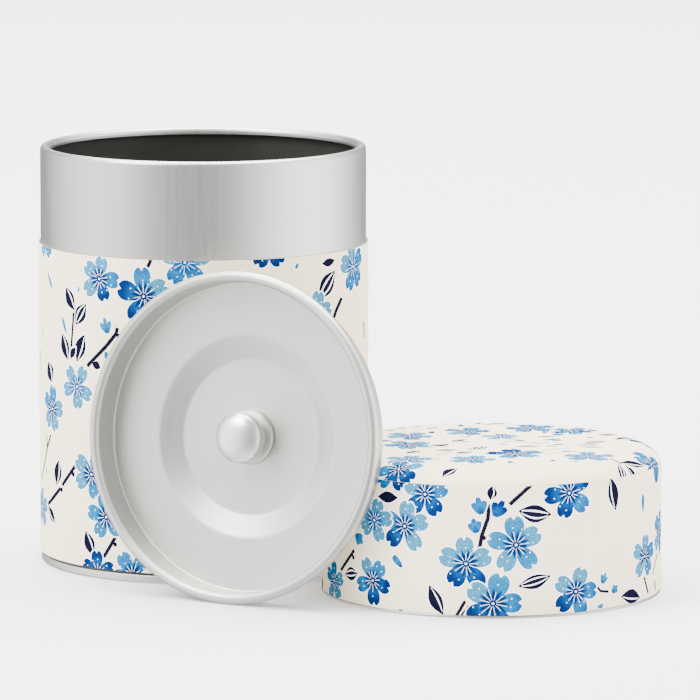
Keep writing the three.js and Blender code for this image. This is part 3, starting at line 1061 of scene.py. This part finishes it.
def bottom(pale, shade_lining):
    """The pressed bottom: foot ring, a panel with one raised ring, and the plug inside the liner."""
    plug = NECK_R - INNER_WALL - PLUG_CLEARANCE
    plug_inner = plug - FOOT_SHEET
    panel, panel_low = FOOT_PANEL, FOOT_PANEL - PANEL_STEP
    top, top_low = panel + FOOT_SHEET, panel_low + FOOT_SHEET
    step_in, step_out = PANEL_RING
    section = rounded([
        (0, panel, 0), (step_in, panel, 0.3), (step_in + 0.6, panel_low, 0.3), (step_out, panel_low, 0.3),
        (step_out + 0.6, panel, 0.3), (PANEL_R, panel, 0.6), (38.4, 0, 0.5), (39.9, 0, 0.3),
        (FOOT_R, 0.4, 0.3), (FOOT_R, FOOT_TOP, 0.35), (plug, FOOT_TOP, 0.1), (plug, PLUG_TOP, 0.15),
        (plug_inner, PLUG_TOP, 0.15), (plug_inner, top, 0.9), (step_out + 0.6, top, 0.3),
        (step_out, top_low, 0.3), (step_in + 0.6, top_low, 0.3), (step_in, top, 0.3), (0, top, 0),
    ])
    # The bottom's inside face, from the plug's top on, gets the second material, a painted shade.
    inner_face = next(i for i, (r, z) in enumerate(section) if z > PLUG_TOP - 0.5)
    where = (CANISTER, "canister", "pale_tin", ["bottom_end"])
    turned("pressed_bottom", section, where, [pale, shade_lining], inner_face)


def lid_dish(pale):
    """The drawn dish, with soft corners, a rolled bead round its rim and a small fillet where its wall meets
    its floor.
    """
    bend = (BEAD_R - DISH_R) / 2 + DISH_SHEET / 2
    middle = BEAD_R - bend
    inner = bend - DISH_SHEET
    wall = DISH_R - DISH_SHEET
    under = -FLOOR_DEPTH - DISH_SHEET
    outside = rounded([
        (HOLE_R, RECESS_Z - DISH_SHEET, 0.1), (RECESS_INNER_R, RECESS_Z - DISH_SHEET, 2.4),
        (RECESS_OUTER_R, under, 3.0), (DISH_R, under, 1.1), (DISH_R, -bend, 0),
    ])
    lip = [
        *arc(middle, -bend, inner, inner, 180, 0, 10), (BEAD_R - DISH_SHEET, -BEAD_DROP + 0.1),
        (BEAD_R - DISH_SHEET + 0.1, -BEAD_DROP), (BEAD_R - 0.1, -BEAD_DROP), (BEAD_R, -BEAD_DROP + 0.1),
        *arc(middle, -bend, bend, bend, 0, 180, 18),
    ]
    inside = rounded([
        (wall, -bend, 0), (wall, -FLOOR_DEPTH, 0.45), (RECESS_OUTER_R, -FLOOR_DEPTH, 3.4),
        (RECESS_INNER_R, RECESS_Z, 2.2),
        (HOLE_R, RECESS_Z, 0.1),
    ])
    where = (INNER_LID, "inner_lid", "pale_tin", ["inner_lid_dish"])
    turned("dish", outside[:-1] + lip + inside[1:], where, [pale])


def knob(pale, bright):
    """Collar, peened stem and the crimped polished cap."""
    foot = RECESS_Z + KNOB_GAP
    top = RECESS_Z + FLANGE_H
    flange = rounded([
        (HOLE_R, foot, 0.1), (FLANGE_R - 0.2, foot, 0.3), (FLANGE_R, foot + 0.7, 0.5),
        (FLANGE_R - 0.5, foot + 1.3, 0.3), (WAIST_R + 0.8, top - 0.35, 0.5), (WAIST_R + 0.4, top, 0.15),
        (HOLE_R, top, 0.1),
    ])
    turned("knob_collar", flange, (INNER_LID, "inner_lid", "pale_tin", ["knob_flange"]), [pale])

    waist = top + KNOB_GAP
    tail = RECESS_Z - DISH_SHEET - KNOB_GAP
    plate = RECESS_Z + CAP_EDGE_H + CAP_SHEET + KNOB_GAP
    plate_r = CAP_R - CAP_SHEET - KNOB_GAP
    stem = rounded([
        (0, tail - 1.0, 0), (SHANK_R + 0.2, tail - 0.95, 0.6), (RIVET_R, tail - 0.35, 0.3),
        (RIVET_R, tail, 0.1), (SHANK_R, tail, 0), (SHANK_R, waist, 0), (WAIST_R, waist, 0.2),
        (WAIST_R, plate, 0.1), (plate_r, plate, 0.1), (plate_r, plate + PLATE_H, 0.2),
        (0, plate + PLATE_H, 0),
    ])
    turned("knob_shank", stem, (INNER_LID, "inner_lid", "pale_tin", ["knob_stem"]), [pale])

    edge = RECESS_Z + CAP_EDGE_H
    side = edge + CAP_SIDE_H
    dome = CAP_TOP_H - CAP_EDGE_H - CAP_SIDE_H
    crimp_r = WAIST_R + KNOB_GAP
    inner_r, inner_dome = CAP_R - CAP_SHEET, dome - CAP_SHEET
    cap = [
        (crimp_r, edge + CAP_CRIMP), (crimp_r + CAP_CRIMP, edge),
        *arc(inner_r, edge + CAP_SHEET, CAP_SHEET, CAP_SHEET, -90, 0, 6),
        *arc(0, side, CAP_R, dome, 0, 90, 30)[:-1], (0, side + dome), (0, side + inner_dome),
        *arc(0, side, inner_r, inner_dome, 90, 0, 16)[1:], (inner_r, edge + CAP_SHEET),
        (crimp_r, edge + CAP_SHEET),
    ]
    turned("knob_dome", from_axis(cap), (INNER_LID, "inner_lid", "bright_metal", ["knob_cap"]), [bright])


def from_axis(section):
    """A section of two skins that meets the axis twice, put in order from the inner skin's middle."""
    top = next(i for i, (r, _) in enumerate(section) if r == 0)
    return section[top + 1:] + section[:top + 1]


def outer_lid(finishes, print_side_sheet, print_top_sheet):
    """The slip-on lid: drawn shell with a rolled hem, and its two papers."""
    satin = finishes["satin"]
    outer = LID_INNER_R + LID_SHEET
    deep_out, deep_in = LID_R - outer, LID_R - LID_INNER_R
    mid_r, mid_z = LID_R - LID_EDGE_X, LID_Z - LID_EDGE_Z
    hem = (LID_R - 0.3, LID_HEM_Z / 2, 0.3, 0.3)
    section = [
        (LID_INNER_R + 0.12, 0), (LID_R - 0.3, 0), *arc(*hem, -90, 90, 10), (outer, LID_HEM_Z),
        *arc(mid_r, mid_z, LID_EDGE_X - deep_out, LID_EDGE_Z - deep_out, 0, 90, 22), (0, LID_Z - deep_out),
        (0, LID_Z - deep_in), *arc(mid_r, mid_z, LID_EDGE_X - deep_in, LID_EDGE_Z - deep_in, 90, 0, 16),
        (LID_INNER_R, 0.12),
    ]
    turned("lid_tin", from_axis(section), (OUTER_LID, "outer_lid", "satin_tin", ["lid_shell"]), [satin])
    print_side_sheet("lid_side_print", (OUTER_LID, "outer_lid", "washi", ["lid_side_paper"]))
    print_top_sheet("lid_top_print", (OUTER_LID, "outer_lid", "washi", ["lid_top_paper"]))


def build():
    finishes = {
        "satin": tin("satin_tin", (0.60, 0.60, 0.575), 0.34, (1.6, 1.6, 0.035)),
        "pale": tin("pale_tin", (0.625, 0.63, 0.59), 0.42, (0.05, 0.05, 3.5)),
        "dull": tin("dull_tin", (0.34, 0.34, 0.33), 0.5, (1.6, 1.6, 0.035)),
        "bright": tin("bright_metal", (0.88, 0.88, 0.87), 0.32, (0.9, 0.9, 0.9), 0.02),
        # painted shade for the tin's dark inside and the gap above the foot ring
        "lacquer": lacquer(),
        "washi": washi(),
    }
    body_surface = wrapped(PAPER_R)
    side_surface = wrapped(LID_R, lid_radius)
    crown = Crown()
    body_motifs = (BODY_BLOSSOMS, BODY_LEAVES, BODY_TWIGS, BODY_PETALS, BODY_BUDS)
    side_motifs = (SIDE_BLOSSOMS, SIDE_LEAVES, SIDE_TWIGS, SIDE_PETALS, SIDE_BUDS)
    crown_motifs = (CROWN_BLOSSOMS, CROWN_LEAVES, CROWN_TWIGS, CROWN_PETALS, CROWN_BUDS)
    body, body_half = print_side(PAPER_R, PAPER_LOW, PAPER_TOP, body_surface, CANISTER, body_motifs, 4)
    side, side_half = print_side(LID_R, LID_SIDE_LOW, LID_SIDE_TOP, side_surface, OUTER_LID, side_motifs, 9)
    top = print_crown(crown, crown_motifs, 17)
    body_rows = rows_between(body_half, [6 + 4.2 * i for i in range(17)], 1.5)
    side_rows = rows_between(side_half, (6, 12, 18, 24, 29, 30.3, 30.85), 1.5)

    def body_sheet(name, where):
        drape(name, body, body_surface, PAPER_SHEET, where, finishes["washi"], body_rows)

    def side_sheet(name, where):
        drape(name, side, side_surface, PAPER_SHEET, where, finishes["washi"], side_rows)

    def top_sheet(name, where):
        drape(name, top, crown.surface, PAPER_SHEET + 0.1, where, finishes["washi"], crown_rows(crown))

    canister(finishes, body_sheet)
    lid_dish(finishes["pale"])
    knob(finishes["pale"], finishes["bright"])
    outer_lid(finishes, side_sheet, top_sheet)


# ---- Studio ------------------------------------------------------------------------------


FLOOR_REACH = 4.0
ROOM_STOPS = ((0.0, 0.95), (0.06, 0.85), (0.24, 0.26), (0.5, 0.19), (0.70, 0.28), (0.90, 0.95), (1.0, 1.5))
ROOM_BLUE = 1.01
BELOW_GLOW = (0.52, 0.52, 0.53, 1)
STRENGTH_FRONT, STRENGTH_BACK = 3.6, 1.3


def area_light(name, place, aim, size, power, glossy=True):
    data = bpy.data.lights.new(name, "AREA")
    data.shape = "RECTANGLE"
    data.size, data.size_y = size
    data.energy = power
    light = bpy.data.objects.new(name, data)
    bpy.context.scene.collection.objects.link(light)
    light.location = place
    light.rotation_euler = (Vector(aim) - Vector(place)).to_track_quat("-Z", "Y").to_euler()
    light.visible_glossy = glossy
    light.visible_camera = False


def floor():
    mesh = bpy.data.meshes.new("floor")
    corners = [(x * FLOOR_REACH, y * FLOOR_REACH, 0) for x, y in ((-1, -1), (1, -1), (1, 1), (-1, 1))]
    mesh.from_pydata(corners, [], [(0, 1, 2, 3)])
    plane = bpy.data.objects.new("floor", mesh)
    bpy.context.scene.collection.objects.link(plane)
    paint = Finish("pale_floor", Base_Color=(0.91, 0.91, 0.95, 1), Roughness=0.9, Specular_IOR_Level=0.1)
    mesh.materials.append(paint.material)
    plane.visible_glossy = False


def room_ramp(tree):
    """A ramp of greys from left to right: bright at both sides, dark in the middle."""
    ramp = tree.nodes.new("ShaderNodeValToRGB")
    elements = ramp.color_ramp.elements
    elements[0].position = ROOM_STOPS[0][0]
    elements[1].position = ROOM_STOPS[-1][0]
    for position, _ in ROOM_STOPS[1:-1]:
        elements.new(position)
    for element, (_, value) in zip(elements, ROOM_STOPS):
        element.color = (value, value, value * ROOM_BLUE, 1)
    return ramp


def world():
    """A soft room: bright at the left and right, dimmer at the back, an even glow far below."""
    room = bpy.data.worlds.new("room")
    bpy.context.scene.world = room
    room.use_nodes = True
    tree = room.node_tree
    background = tree.nodes["Background"]
    coordinates = tree.nodes.new("ShaderNodeTexCoord")
    ramp = room_ramp(tree)
    split = tree.nodes.new("ShaderNodeSeparateXYZ")
    tree.links.new(coordinates.outputs["Generated"], split.inputs["Vector"])

    def ranged(axis, *limits):
        ranger = tree.nodes.new("ShaderNodeMapRange")
        set_range(ranger, *limits)
        tree.links.new(split.outputs[axis], ranger.inputs["Value"])
        return ranger.outputs["Result"]

    tree.links.new(ranged("X", -1, 1, 0, 1), ramp.inputs["Fac"])
    glow = tree.nodes.new("ShaderNodeMix")
    glow.data_type = "RGBA"
    glow.inputs[7].default_value = BELOW_GLOW
    tree.links.new(ranged("Z", -0.35, -0.65, 0.0, 1.0), glow.inputs[0])
    tree.links.new(ramp.outputs["Color"], glow.inputs[6])
    tree.links.new(glow.outputs[2], background.inputs["Color"])
    strength = ranged("Y", 0.0, 0.8, STRENGTH_FRONT, STRENGTH_BACK)
    tree.links.new(strength, background.inputs["Strength"])


def studio():
    floor()
    world()
    area_light("overhead", (0.0, 0.75, 2.2), (0, 0.75, 0), (2.6, 2.6), 310)
    area_light("left_box", (-1.05, -0.6, 1.2), (0, 0, 0.05), (0.8, 0.6), 32)
    area_light("front_fill", (-0.35, -1.7, 0.9), (0, 0, 0.05), (1.2, 0.9), 19, glossy=False)
    camera_data = bpy.data.cameras.new("camera")
    camera_data.lens = CAMERA_LENS
    camera_data.sensor_width = SENSOR
    camera_data.clip_start = 0.1
    camera = bpy.data.objects.new("camera", camera_data)
    bpy.context.scene.collection.objects.link(camera)
    camera.location = CAMERA_PLACE
    camera.rotation_euler = (math.radians(90 - CAMERA_DOWN), 0, 0)
    bpy.context.scene.camera = camera


build()
studio()
